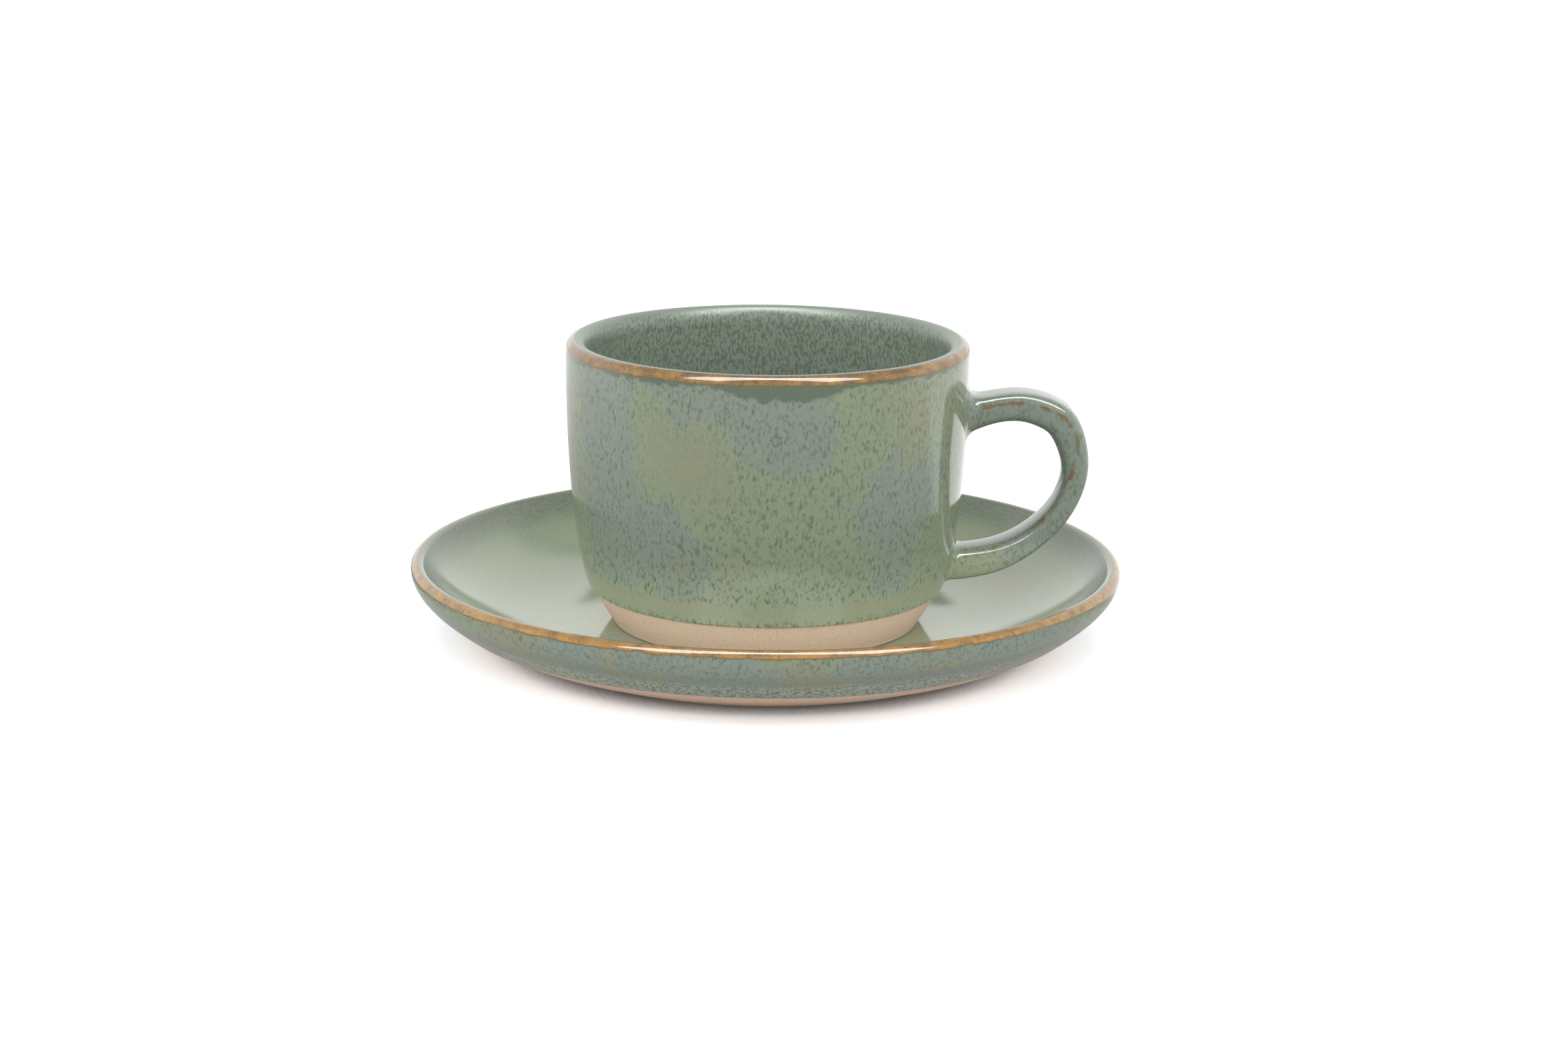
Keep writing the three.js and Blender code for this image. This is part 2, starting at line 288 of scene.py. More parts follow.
# Painted light on the cup's lower wall, growing towards the glaze line
LOW_WALL_LIGHT_SPAN = (12 * MM, 1 * MM)
LOW_WALL_LIGHT_GAIN = 1.5
CRAWL_WANDER = 2.5 * MM
CRAWL_SPAN = (8.0 * MM, 5.2 * MM)
SCALE_LIGHT_SPAN = (0.56, 0.42)  # noise between which a crawled scale grows pale with painted light
SCALE_LIGHT_GAIN = 1.75
LIP_BAND_DROP = 2.4 * MM  # how much lower the band below the lip reaches at its lowest
LIP_BAND_FRAY = 2.4 * MM
LIP_BAND_WANDER = 4.0 * MM
LIP_BAND_SPAN = (6.4 * MM, 5.8 * MM)
LIP_BAND_DEPTH = 0.9
PATCH_SIZE = 3
BREAK_WANDER = 1.2  # how much patches vary the break
BREAK_BORDER = (0.9, 1.2)
BREAK_MIDDLE = (1.1, 1.65)
PIT_SIZE = 0.5
PIT_SPAN = (0.64, 0.72)
PIT_SHADE = 0.35
GLOSS = 0.09  # roughness of the glaze outside
SATIN = 0.38  # roughness of the glaze inside the cup
GLAZE_IOR = 1.52
GLAZE_BUMP = {"Strength": 0.4, "Distance": 0.02 * MM}

# Pattern of the bare clay
GRIT_SIZE = 0.35
GRAIN_SPAN = (0.58, 0.7)
TOAST_WANDER = 1 * MM
TOAST_SPAN = (-0.7 * MM, 0.5 * MM)
CLAY_FINISH = {"Roughness": 0.85, "Specular IOR Level": 0.25}
CLAY_BUMP = {"Strength": 0.3, "Distance": 0.05 * MM}


class CUPSET_PG_stage(bpy.types.PropertyGroup):
    """The studio round the object."""
    floor_size: length("Floor", 12000.0, "Width of the floor")
    lens: share("Lens", 73.02, "Focal length in millimetres on a 36 mm sensor")
    pitch: bpy.props.FloatProperty(
        name="Pitch", description="How far the camera looks down", default=0.2415, subtype="ANGLE")
    roll: bpy.props.FloatProperty(
        name="Roll", description="How far the camera leans", default=0.012, subtype="ANGLE")
    camera: bpy.props.FloatVectorProperty(
        name="Camera", description="Place of the camera", size=3, unit="LENGTH",
        default=(3.75 * MM, -649.89 * MM, 185.09 * MM))


# The floor, in metres: distances between which the level of its painted reflection changes, and that level
FLOOR_DROP = 0.05 * MM
CARD = "cccccc"
SEEN_CARD = (1.16, 1.2, 1.24)  # tone that the camera sees, cooled against the clay's warm bounce
CONTACT_REACH = 0.03
CONTACT_OPEN = 0.13  # share of open sky above which there is no painted contact shadow
MIRROR_NEAR = (0.13, 0.09)
MIRROR_NEAR_LEVEL = 0.5
MIRROR_FAR = (0.1, 0.42)
MIRROR_FAR_LEVEL = 0.22
MIRROR_FRONT = (-0.15, 0.0)
MIRROR_FRONT_LEVEL = 0.3
MIRROR_BEHIND = (0.0, 0.04)
MIRROR_RIGHT = (-0.05, 0.05)

# The surroundings: shares of a direction between which their strength changes, and that strength
SKY_EDGE = (0.58, 0.7)
SKY_SIDES = 1.46
SKY_OVERHEAD = 0.5
SKY_FRONT = (-0.4, 0.0)
SKY_FRONT_LEVEL = 0.4

# Lights: name, place, width and depth in metres, power in watts, and whether it is mirrored or only lights
LIGHTS = (
    ("strip_left", (-0.3, -0.35, 1.0), 0.4, 1.2, 20.0, True),
    ("strip_right", (0.38, -0.35, 1.0), 0.44, 1.2, 22.0, True),
    ("overhead", (0.0, -0.5, 1.5), 1.6, 1.6, 9.0, False),
    ("front_fill", (0.0, -1.4, 0.6), 1.8, 0.6, 14.5, False),
    ("left_fill", (-1.4, -0.2, 0.5), 1.2, 0.6, 9.0, False),
    ("right_fill", (1.4, -0.2, 0.5), 1.2, 0.6, 8.0, False),
)
SENSOR_WIDTH = 36  # millimetres


def bezier(controls, steps):
    """Points along a curve pulled towards its inner controls."""
    shares = np.linspace(0, 1, steps + 1)[:, None]
    levels = [np.broadcast_to(np.array(c, float), (steps + 1, len(c))) for c in controls]
    while len(levels) > 1:
        levels = [a + (b - a) * shares for a, b in zip(levels, levels[1:])]
    return levels[0]


def arc(centre, radius, start, end, steps):
    """Points along part of a circle."""
    turns = np.linspace(start, end, steps + 1)
    return np.array(centre) + radius * np.column_stack([np.cos(turns), np.sin(turns)])


def joined(*runs):
    """One outline from runs that start where the one before ended."""
    return np.vstack([runs[0], *[run[1:] for run in runs[1:]]])


def grown(points, distance):
    """The outline moved by a distance to the left of its travel, out of the clay."""
    along = np.diff(points, axis=0)
    left = np.column_stack([-along[:, 1], along[:, 0]])
    left /= np.linalg.norm(left, axis=1)[:, None]
    before = np.vstack([left[:1], left])
    normal = before + np.vstack([left, left[-1:]])
    normal /= np.linalg.norm(normal, axis=1)[:, None]
    return points + normal * (distance / np.sum(normal * before, axis=1))[:, None]


def travelled(points):
    """Distance along an outline at each of its points."""
    steps = np.linalg.norm(np.diff(points, axis=0), axis=1)
    return np.concatenate([[0.0], np.cumsum(steps)])


def saucer_skin(size):
    """Surface of the saucer that carries glaze: floor, rise, rounded rim, then down the flank."""
    lip = size.rim / 2
    lip_height = size.height - lip
    rise = size.radius - size.rim - size.floor_radius
    climb = lip_height - size.floor_height
    flank = lip_height - size.line_height
    rim = arc((size.radius - lip, lip_height), lip, RIM_START, 0, LIP_STEPS)
    return joined(
        bezier([(0, size.floor_height), (size.floor_radius, size.floor_height)], FLOOR_STEPS),
        bezier([
            (size.floor_radius, size.floor_height),
            (size.floor_radius + RISE_LEVEL * rise, size.floor_height),
            (size.floor_radius + RISE_OUT * rise, size.floor_height + RISE_UP * climb),
            rim[0],
        ], CURVE_STEPS),
        rim,
        bezier([
            (size.radius, lip_height),
            (size.radius, lip_height - FLANK_PLUMB * flank),
            (size.radius - FLANK_IN * size.line_inset, size.line_height + FLANK_UP * flank),
            (size.radius - size.line_inset, size.line_height),
        ], CURVE_STEPS),
    )


def saucer_foot(size):
    """Bare clay of the saucer from the glaze line to the axis: heel, foot ring and recess."""
    ring = size.foot_radius - size.foot_width
    recess = (ring - size.foot_recess, size.foot_recess)
    sole = (size.foot_radius - size.bevel, 0)
    heel = (size.radius - size.heel_inset, size.heel_height)
    worn = (size.foot_radius + size.bevel, size.bevel)
    return joined(
        bezier([(size.radius - size.line_inset, size.line_height), heel, worn], CURVE_STEPS),
        bezier([worn, (size.foot_radius + size.bevel / 2, 0), sole], BEVEL_STEPS),
        bezier([sole, (ring + size.bevel, 0)], BEVEL_STEPS),
        bezier([(ring + size.bevel, 0), (ring, 0), recess], BEVEL_STEPS),
        bezier([recess, (0, size.foot_recess)], FLOOR_STEPS),
    )


def cup_outside(size):
    """Outside of the cup's wall, from the lip's outer edge down to the glaze line."""
    lip_height = size.height - size.wall / 2
    return bezier([
        (size.radius, lip_height),
        (size.radius, (lip_height + size.shoulder_height) / 2),
        (size.radius - size.shoulder_inset, size.shoulder_height),
        (size.radius - size.line_inset, size.line_height),
    ], 2 * CURVE_STEPS)


def wall_radius(size, height):
    """Radius of the cup's clay wall at a height, or at many."""
    outside = cup_outside(size)[::-1]
    return np.interp(height, outside[:, 1], outside[:, 0])


def cup_skin(size):
    """Surface of the cup that carries glaze: floor, round corner, inside wall, lip, then down the outside."""
    lip = size.wall / 2
    crest = size.radius - lip
    drop_height = size.height - size.lip_drop
    corner_height = size.floor_height + size.corner
    corner_radius = wall_radius(size, corner_height) - size.wall
    inner = size.radius - size.wall - size.lip_swell
    flat = corner_radius - size.corner
    middle_height = (corner_height + drop_height) / 2
    floor_edge = (flat, size.floor_height)
    corner_top = (corner_radius, corner_height)
    drop = (inner, drop_height)
    return joined(
        bezier([(0, size.floor_height), floor_edge], FLOOR_STEPS),
        bezier([floor_edge, (corner_radius, size.floor_height), corner_top], CURVE_STEPS),
        bezier([corner_top, (inner, middle_height), drop], CURVE_STEPS),
        bezier([drop, (inner, size.height), (crest, size.height)], LIP_STEPS),
        arc((crest, size.height - lip), lip, math.pi / 2, 0, LIP_STEPS),
        cup_outside(size),
    )


def cup_foot(size):
    """Bare clay of the cup from the glaze line to the axis: tapered foot and recess."""
    ring = size.foot_radius - size.foot_width
    recess = (ring - size.foot_recess, size.foot_recess)
    sole = (size.foot_radius - size.bevel, 0)
    line = (size.radius - size.line_inset, size.line_height)
    worn = (size.foot_radius, size.bevel)
    return joined(
        bezier([line, worn], CURVE_STEPS),
        bezier([worn, (size.foot_radius - size.bevel / 4, 0), sole], BEVEL_STEPS),
        bezier([sole, (ring + size.bevel, 0)], BEVEL_STEPS),
        bezier([(ring + size.bevel, 0), (ring, 0), recess], BEVEL_STEPS),
        bezier([recess, (0, size.foot_recess)], FLOOR_STEPS),
    )


def marks(skin, lip_radius, size):
    """The marks at each point of a skin that runs over a lip and ends at the glaze line."""
    along = travelled(skin)
    top = along[np.argmax(skin[:, 1])]
    crest = top + lip_radius * (math.pi / 2 - size.break_turn)
    edge = size.break_strength * np.clip(2 - 2 * np.abs(along - crest) / size.break_reach, 0, 1)
    steep = np.abs(np.gradient(skin[:, 1], along))
    return np.column_stack([edge, along - top, along[-1] - along, steep])


def coat_outline(skin, skin_marks, glaze):
    """Closed outline of a coat over a skin, with a rolled edge at the glaze line, and its marks."""
    inner = grown(skin, glaze.bond)[::-1]
    outer = grown(skin, glaze.bond + glaze.thickness)
    kept = np.unique(np.append(np.arange(0, len(skin), HIDDEN_SKIP), len(skin) - 1))
    onward = outer[-1] - outer[-2]
    onward /= np.linalg.norm(onward)
    roll = bezier([
        outer[-1],
        outer[-1] + onward * glaze.thickness,
        inner[0] + onward * glaze.thickness,
        inner[0],
    ], ROLL_STEPS)[1:-1]
    points = np.vstack([outer, roll, inner[kept]])
    roll_marks = np.repeat(skin_marks[-1:], len(roll), axis=0)
    values = np.vstack([skin_marks, roll_marks, skin_marks[::-1][kept]])
    return points, values


def body_outline(skin, foot):
    """Outline of a clay body under its skin and over its foot, and its marks."""
    points = joined(skin, foot)
    above = np.concatenate([travelled(skin)[-1] - travelled(skin), -travelled(foot)[1:]])
    unused = np.zeros(len(points))
    return points, np.column_stack([unused, unused, above, unused])


def add(tree, kind, feeds=None, **settings):
    """Adds a node with its settings, feeds its inputs with sockets or values, and gives its first output."""
    node = tree.nodes.new(kind)
    for name, value in settings.items():
        setattr(node, name, value)
    shown = [socket for socket in node.inputs if socket.enabled]
    for key, value in (feeds or {}).items():
        socket = shown[key] if isinstance(key, int) else next(s for s in shown if s.name == key)
        if isinstance(value, bpy.types.NodeSocket):
            tree.links.new(value, socket)
        else:
            socket.default_value = value
    return next((socket for socket in node.outputs if socket.enabled), node)


def turning_tree():
    """Nodes that turn an outline of marked points about +Z, sink it unevenly, and paint it."""
    tree = bpy.data.node_groups.new("Turned on the wheel", "GeometryNodeTree")
    for name, kind in (
        ("Outline", "NodeSocketGeometry"),
        ("Steps Around", "NodeSocketInt"),
        ("Lift", "NodeSocketFloat"),
        ("Wobble", "NodeSocketFloat"),
        ("Wobble Size", "NodeSocketFloat"),
        ("Seed", "NodeSocketFloat"),
        ("Material", "NodeSocketMaterial"),
    ):
        tree.interface.new_socket(name, in_out="INPUT", socket_type=kind)
    tree.interface.new_socket("Turned", in_out="OUTPUT", socket_type="NodeSocketGeometry")
    given = tree.nodes.new("NodeGroupInput").outputs

    # A flat grid has one column of points for each step around and one row for each point of the outline
    count = add(tree, "GeometryNodeAttributeDomainSize", {"Geometry": given["Outline"]})
    columns = add(tree, "ShaderNodeMath", {0: given["Steps Around"], 1: 1.0}, operation="ADD")
    grid = add(tree, "GeometryNodeMeshGrid", {"Vertices X": columns, "Vertices Y": count})
    index = add(tree, "GeometryNodeInputIndex")
    row = add(tree, "ShaderNodeMath", {0: index, 1: count}, operation="FLOORED_MODULO")
    column = add(tree, "ShaderNodeMath", {0: index, 1: count}, operation="DIVIDE")
    column = add(tree, "ShaderNodeMath", {0: column}, operation="FLOOR")
    turn = add(tree, "ShaderNodeMath", {0: column, 1: given["Steps Around"]}, operation="DIVIDE")
    turn = add(tree, "ShaderNodeMath", {0: turn, 1: -math.tau}, operation="MULTIPLY")

    # Each point takes its place and marks from the outline, and the place is turned
    place = add(tree, "GeometryNodeSampleIndex", {
        "Geometry": given["Outline"], "Value": add(tree, "GeometryNodeInputPosition"), "Index": row,
    }, data_type="FLOAT_VECTOR")
    place = add(tree, "ShaderNodeVectorRotate", {"Vector": place, "Angle": turn}, rotation_type="Z_AXIS")
    lift = add(tree, "ShaderNodeCombineXYZ", {"Z": given["Lift"]})
    place = add(tree, "ShaderNodeVectorMath", {0: place, 1: lift}, operation="ADD")
    shape = grid
    for mark in OUTLINE_MARKS:
        value = add(tree, "GeometryNodeSampleIndex", {
            "Geometry": given["Outline"],
            "Value": add(tree, "GeometryNodeInputNamedAttribute", {"Name": mark}, data_type="FLOAT"),
            "Index": row,
        }, data_type="FLOAT")
        shape = add(tree, "GeometryNodeStoreNamedAttribute", {
            "Geometry": shape, "Name": mark, "Value": value,
        }, data_type="FLOAT", domain="POINT")
    shape = add(tree, "GeometryNodeSetPosition", {"Geometry": shape, "Position": place})
    shape = add(tree, "GeometryNodeMergeByDistance", {"Geometry": shape, "Distance": WELD})

    # The coat runs: it sinks by up to the wobble, more in some places than in others
    pitch = add(tree, "ShaderNodeMath", {0: 1.0, 1: given["Wobble Size"]}, operation="DIVIDE")
    uneven = add(tree, "ShaderNodeTexNoise", {"W": given["Seed"], "Scale": pitch, "Detail": 1.0},
                 noise_dimensions="4D")
    sink = add(tree, "ShaderNodeMath", {0: uneven, 1: given["Wobble"]}, operation="MULTIPLY")
    sink = add(tree, "ShaderNodeMath", {0: sink, 1: -1.0}, operation="MULTIPLY")
    normal = add(tree, "GeometryNodeInputNormal")
    offset = add(tree, "ShaderNodeVectorMath", {"Vector": normal, "Scale": sink}, operation="SCALE")
    shape = add(tree, "GeometryNodeSetPosition", {"Geometry": shape, "Offset": offset})
    shape = add(tree, "GeometryNodeSetShadeSmooth", {"Geometry": shape})
    shape = add(tree, "GeometryNodeRealizeInstances", {"Geometry": shape})
    shape = add(tree, "GeometryNodeSetMaterial", {"Geometry": shape, "Material": given["Material"]})
    add(tree, "NodeGroupOutput", {"Turned": shape})
    return tree


def turned_piece(name, outline, inputs):
    """A plain mesh object turned from an outline and its marks by the turning tree."""
    points, values = outline
    tree = bpy.data.node_groups.get("Turned on the wheel") or turning_tree()
    mesh = bpy.data.meshes.new(name + "_outline")
    mesh.from_pydata([(x, 0, z) for x, z in points], [(i, i + 1) for i in range(len(points) - 1)], [])
    for mark, column in zip(OUTLINE_MARKS, values.T):
        mesh.attributes.new(mark, "FLOAT", "POINT").data.foreach_set("value", column.astype(np.float32))
    outline_object = bpy.data.objects.new(name + "_outline", mesh)
    bpy.context.collection.objects.link(outline_object)
    modifier = outline_object.modifiers.new("Turned", "NODES")
    modifier.node_group = tree
    sockets = tree.interface.items_tree
    identifiers = {socket.name: socket.identifier for socket in sockets if socket.in_out == "INPUT"}
    for key, value in inputs.items():
        modifier[identifiers[key]] = value
    turned = outline_object.evaluated_get(bpy.context.evaluated_depsgraph_get())
    piece = bpy.data.objects.new(name, bpy.data.meshes.new_from_object(turned))
    bpy.context.collection.objects.link(piece)
    bpy.data.objects.remove(outline_object)
    bpy.data.meshes.remove(mesh)
    return piece


def new_material(name):
    """A material without nodes, and its tree."""
    material = bpy.data.materials.new(name)
    material.use_nodes = True
    material.node_tree.nodes.clear()
    return material, material.node_tree


def tinted(rgb):
    """A colour property as a socket's RGBA."""
    return (*rgb, 1.0)


def span(value, ends, low=0.0, high=1.0):
    """Feeds of a range node that maps a value between two ends to a low and a high."""
    return {"Value": value, "From Min": ends[0], "From Max": ends[1], "To Min": low, "To Max": high}


def nearness(tree, place, centre, reach):
    """1 well inside an egg-shaped region, falling to 0 outside it."""
    apart = add(tree, "ShaderNodeVectorMath", {0: place, 1: centre}, operation="SUBTRACT")
    apart = add(tree, "ShaderNodeVectorMath", {0: apart, 1: reach}, operation="DIVIDE")
    apart = add(tree, "ShaderNodeVectorMath", {0: apart}, operation="LENGTH").node.outputs["Value"]
    return add(tree, "ShaderNodeMapRange", span(apart, NEAR_SPAN))


def object_place(tree):
    """Place on the object, in millimetres."""
    metres = add(tree, "ShaderNodeTexCoord").node.outputs["Object"]
    return add(tree, "ShaderNodeVectorMath", {"Vector": metres, "Scale": 1 / MM}, operation="SCALE")


def glaze_material(look):
    """Reactive glaze, dipped and fired: it runs, clouds over and breaks to ochre on edges.

    The eye reads a glossy skin over cloudy green, blue-grey and olive, with dark flecks drawn out downwards.
    """
    name = "Dipped reactive stoneware glaze"
    if name in bpy.data.materials:
        return bpy.data.materials[name]
    material, tree = new_material(name)
    place = object_place(tree)
    edge, below, above, steep = (
        add(tree, "ShaderNodeAttribute", attribute_name=mark).node.outputs["Fac"] for mark in OUTLINE_MARKS)
    soft = {"interpolation_type": "SMOOTHSTEP"}
    outside = add(tree, "ShaderNodeMath", {0: below, 1: 0.0}, operation="GREATER_THAN")
    inside = add(tree, "ShaderNodeMath", {0: 1.0, 1: outside}, operation="SUBTRACT")
    plumb = add(tree, "ShaderNodeMapRange", span(steep, PLUMB_SPAN), **soft)
    height = add(tree, "ShaderNodeSeparateXYZ", {"Vector": place}).node.outputs["Z"]
    tall = add(tree, "ShaderNodeMapRange", span(height, CUP_SPAN))

    # Noise of the flecks, drawn out downwards, and finer inside
    fineness = add(tree, "ShaderNodeMapRange", {"Value": outside, "To Min": FLECK_FINENESS})
    hung = add(tree, "ShaderNodeVectorMath", {0: place, 1: FLECK_DRAW}, operation="MULTIPLY")
    hung = add(tree, "ShaderNodeVectorMath", {"Vector": hung, "Scale": fineness}, operation="SCALE")
    run = add(tree, "ShaderNodeTexNoise", {
        "Vector": hung, "Scale": 1 / FLECK_SIZE, "Detail": 3.0, "Roughness": 0.6,
    })

    # Clouds whose borders are ragged with flecks: some at random, and some in known places on the front
    stray = add(tree, "ShaderNodeTexNoise", {
        "Vector": place, "Scale": 1 / STRAY_SIZE, "Detail": 3.0,
    }).node.outputs["Color"]
    stray = add(tree, "ShaderNodeVectorMath", {0: stray, 1: (0.5, 0.5, 0.5)}, operation="SUBTRACT")
    stray = add(tree, "ShaderNodeVectorMath", {0: stray, 1: (STRAY_REACH,) * 3, 2: place},
                operation="MULTIPLY_ADD")
    skin = tinted(look.green)
    for seed, size, tint in ((BLUE_SEED, BLUE_SIZE, look.blue), (OLIVE_SEED, OLIVE_SIZE, look.olive)):
        cloud = add(tree, "ShaderNodeTexNoise", {
            "Vector": place, "W": seed, "Scale": 1 / size, "Detail": 3.0,
        }, noise_dimensions="4D")
        for centre, reach in CLOUDS[seed]:
            near = nearness(tree, stray, centre, reach)
            cloud = add(tree, "ShaderNodeMath", {0: near, 1: CLOUD_PULL, 2: cloud}, operation="MULTIPLY_ADD")
        ragged = add(tree, "ShaderNodeMath", {0: run, 1: CLOUD_RAGGED, 2: cloud}, operation="MULTIPLY_ADD")
        amount = add(tree, "ShaderNodeMapRange", span(ragged, CLOUD_SPAN), **soft)
        skin = add(tree, "ShaderNodeMix", {"Factor": amount, "A": skin, "B": tinted(tint)}, data_type="RGBA")

    # A smooth olive band above the glaze line of a plumb wall
    washed = add(tree, "ShaderNodeMath", {0: run, 1: TIDE_WANDER, 2: above}, operation="MULTIPLY_ADD")
    tide = add(tree, "ShaderNodeMapRange", span(washed, TIDE_TOP), **soft)
    ebb = add(tree, "ShaderNodeMapRange", span(washed, TIDE_FOOT), **soft)
    for limit in (ebb, plumb, outside):
        tide = add(tree, "ShaderNodeMath", {0: tide, 1: limit}, operation="MULTIPLY")
    skin = add(tree, "ShaderNodeMix", {"Factor": tide, "A": skin, "B": tinted(look.olive)}, data_type="RGBA")
    blob = nearness(tree, stray, *CLOUDS[OLIVE_SEED][0])
    calm = add(tree, "ShaderNodeMath", {0: blob, 1: tide}, operation="MAXIMUM")
    calm = add(tree, "ShaderNodeMath", {0: calm, 1: outside}, operation="MULTIPLY")

    # The inside of the cup, up to its lip, is one colour: partly the thick glaze's own, and partly painted
    # shade
    shaded = add(tree, "ShaderNodeMath", {0: plumb, 1: tall}, operation="MAXIMUM")
    shaded = add(tree, "ShaderNodeMath", {0: shaded, 1: inside}, operation="MULTIPLY")
    skin = add(tree, "ShaderNodeMix", {"Factor": shaded, "A": skin, "B": tinted(look.deep_and_shaded)}, data_type="RGBA")

    # Painted light: the glaze is lighter in level places inside, and towards the cup's glaze line on the
    # outside
    # Painted light on level glaze inside the saucer and the cup
    level_light = add(tree, "ShaderNodeMapRange", span(steep, LEVEL_LIGHT_SPAN, LEVEL_LIGHT_GAIN, 1.0))
    dish = add(tree, "ShaderNodeMapRange", span(below, LEVEL_LIGHT_INSET))
    # Painted light on the cup's lower wall, which tilts down from the light, lighter towards the glaze line
    low_wall_light = add(tree, "ShaderNodeMapRange", span(above, LOW_WALL_LIGHT_SPAN, 1.0, LOW_WALL_LIGHT_GAIN))
    on_cup = add(tree, "ShaderNodeMapRange", span(height, SAUCER_SPAN))
    on_cup = add(tree, "ShaderNodeMath", {0: on_cup, 1: outside}, operation="MULTIPLY")

    # Low on the saucer's flank it has crawled into scales with dark gaps, and the scales' paleness is painted
    # light on their relief
    crawled = add(tree, "ShaderNodeMath", {0: run, 1: CRAWL_WANDER, 2: above}, operation="MULTIPLY_ADD")
    crawled = add(tree, "ShaderNodeMapRange", span(crawled, CRAWL_SPAN))
    low = add(tree, "ShaderNodeMapRange", span(height, SAUCER_SPAN[::-1]))
    for limit in (outside, low):
        crawled = add(tree, "ShaderNodeMath", {0: crawled, 1: limit}, operation="MULTIPLY")
    scale_light = add(tree, "ShaderNodeMapRange", span(run, SCALE_LIGHT_SPAN, 1.0, SCALE_LIGHT_GAIN))
    for share_of_skin, gain in ((dish, level_light), (on_cup, low_wall_light), (crawled, scale_light)):
        gain = add(tree, "ShaderNodeMix", {"Factor": share_of_skin, "A": 1.0, "B": gain}, data_type="FLOAT")
        skin = add(tree, "ShaderNodeVectorMath", {"Vector": skin, "Scale": gain}, operation="SCALE")

    # Flecks lie on plumb walls and crawled glaze, and are faint on calm clouds
    full = add(tree, "ShaderNodeMapRange", span(shaded, (0.0, 1.0), *FLECK_FULL))
    flecks = add(tree, "ShaderNodeMapRange", span(run, (FLECK_START, full), 0.0, FLECK_DEPTH), **soft)
    hushed = add(tree, "ShaderNodeMapRange", {"Value": calm, "To Min": 1.0, "To Max": FLECKS_ON_CALM})
    settled = add(tree, "ShaderNodeMapRange", {"Value": plumb, "To Min": FLECKS_ON_LEVEL})
    settled = add(tree, "ShaderNodeMath", {0: settled, 1: crawled}, operation="MAXIMUM")
    for limit in (hushed, settled):
        flecks = add(tree, "ShaderNodeMath", {0: flecks, 1: limit}, operation="MULTIPLY")
    skin = add(tree, "ShaderNodeMix", {"Factor": flecks, "A": skin, "B": tinted(look.dark)}, data_type="RGBA")

    # The dark band just below the lip reaches lowest at the front
    lowest = nearness(tree, place, *LIP_BAND)
    patch = add(tree, "ShaderNodeTexNoise", {
        "Vector": place, "Scale": 1 / PATCH_SIZE, "Detail": 5.0, "Roughness": 0.6,
    })
    ripple = below
    for noise, reach in ((lowest, -LIP_BAND_DROP), (run, LIP_BAND_FRAY), (patch, LIP_BAND_WANDER)):
        ripple = add(tree, "ShaderNodeMath", {0: noise, 1: reach, 2: ripple}, operation="MULTIPLY_ADD")
    band = add(tree, "ShaderNodeMapRange", span(ripple, LIP_BAND_SPAN, 0.0, LIP_BAND_DEPTH), **soft)
    for limit in (outside, tall):
        band = add(tree, "ShaderNodeMath", {0: band, 1: limit}, operation="MULTIPLY")
    skin = add(tree, "ShaderNodeMix", {"Factor": band, "A": skin, "B": tinted(look.dark)}, data_type="RGBA")

    # The break on edges: umber at its border, ochre within, and a few dark pits
    thin = add(tree, "ShaderNodeMath", {0: patch, 1: BREAK_WANDER, 2: edge}, operation="MULTIPLY_ADD")
    border = add(tree, "ShaderNodeMapRange", span(thin, BREAK_BORDER), **soft)
    middle = add(tree, "ShaderNodeMapRange", span(thin, BREAK_MIDDLE), **soft)
    pits = add(tree, "ShaderNodeTexNoise", {"Vector": place, "Scale": 1 / PIT_SIZE, "Detail": 1.0})
    pits = add(tree, "ShaderNodeMapRange", span(pits, PIT_SPAN, 1.0, PIT_SHADE))
    broken = add(tree, "ShaderNodeMix", {
        "Factor": middle, "A": tinted(look.umber), "B": tinted(look.ochre),
    }, data_type="RGBA")
    broken = add(tree, "ShaderNodeVectorMath", {"Vector": broken, "Scale": pits}, operation="SCALE")
    skin = add(tree, "ShaderNodeMix", {"Factor": border, "A": skin, "B": broken}, data_type="RGBA")

    # Glossy outside and satin inside the cup
    uneven = add(tree, "ShaderNodeBump", {**GLAZE_BUMP, "Height": patch})
    finish = add(tree, "ShaderNodeMapRange", span(shaded, (0.0, 1.0), GLOSS, SATIN))
    surface = add(tree, "ShaderNodeBsdfPrincipled", {
        "Base Color": skin, "Roughness": finish, "IOR": GLAZE_IOR, "Normal": uneven,
    })
    add(tree, "ShaderNodeOutputMaterial", {"Surface": surface})
    return material


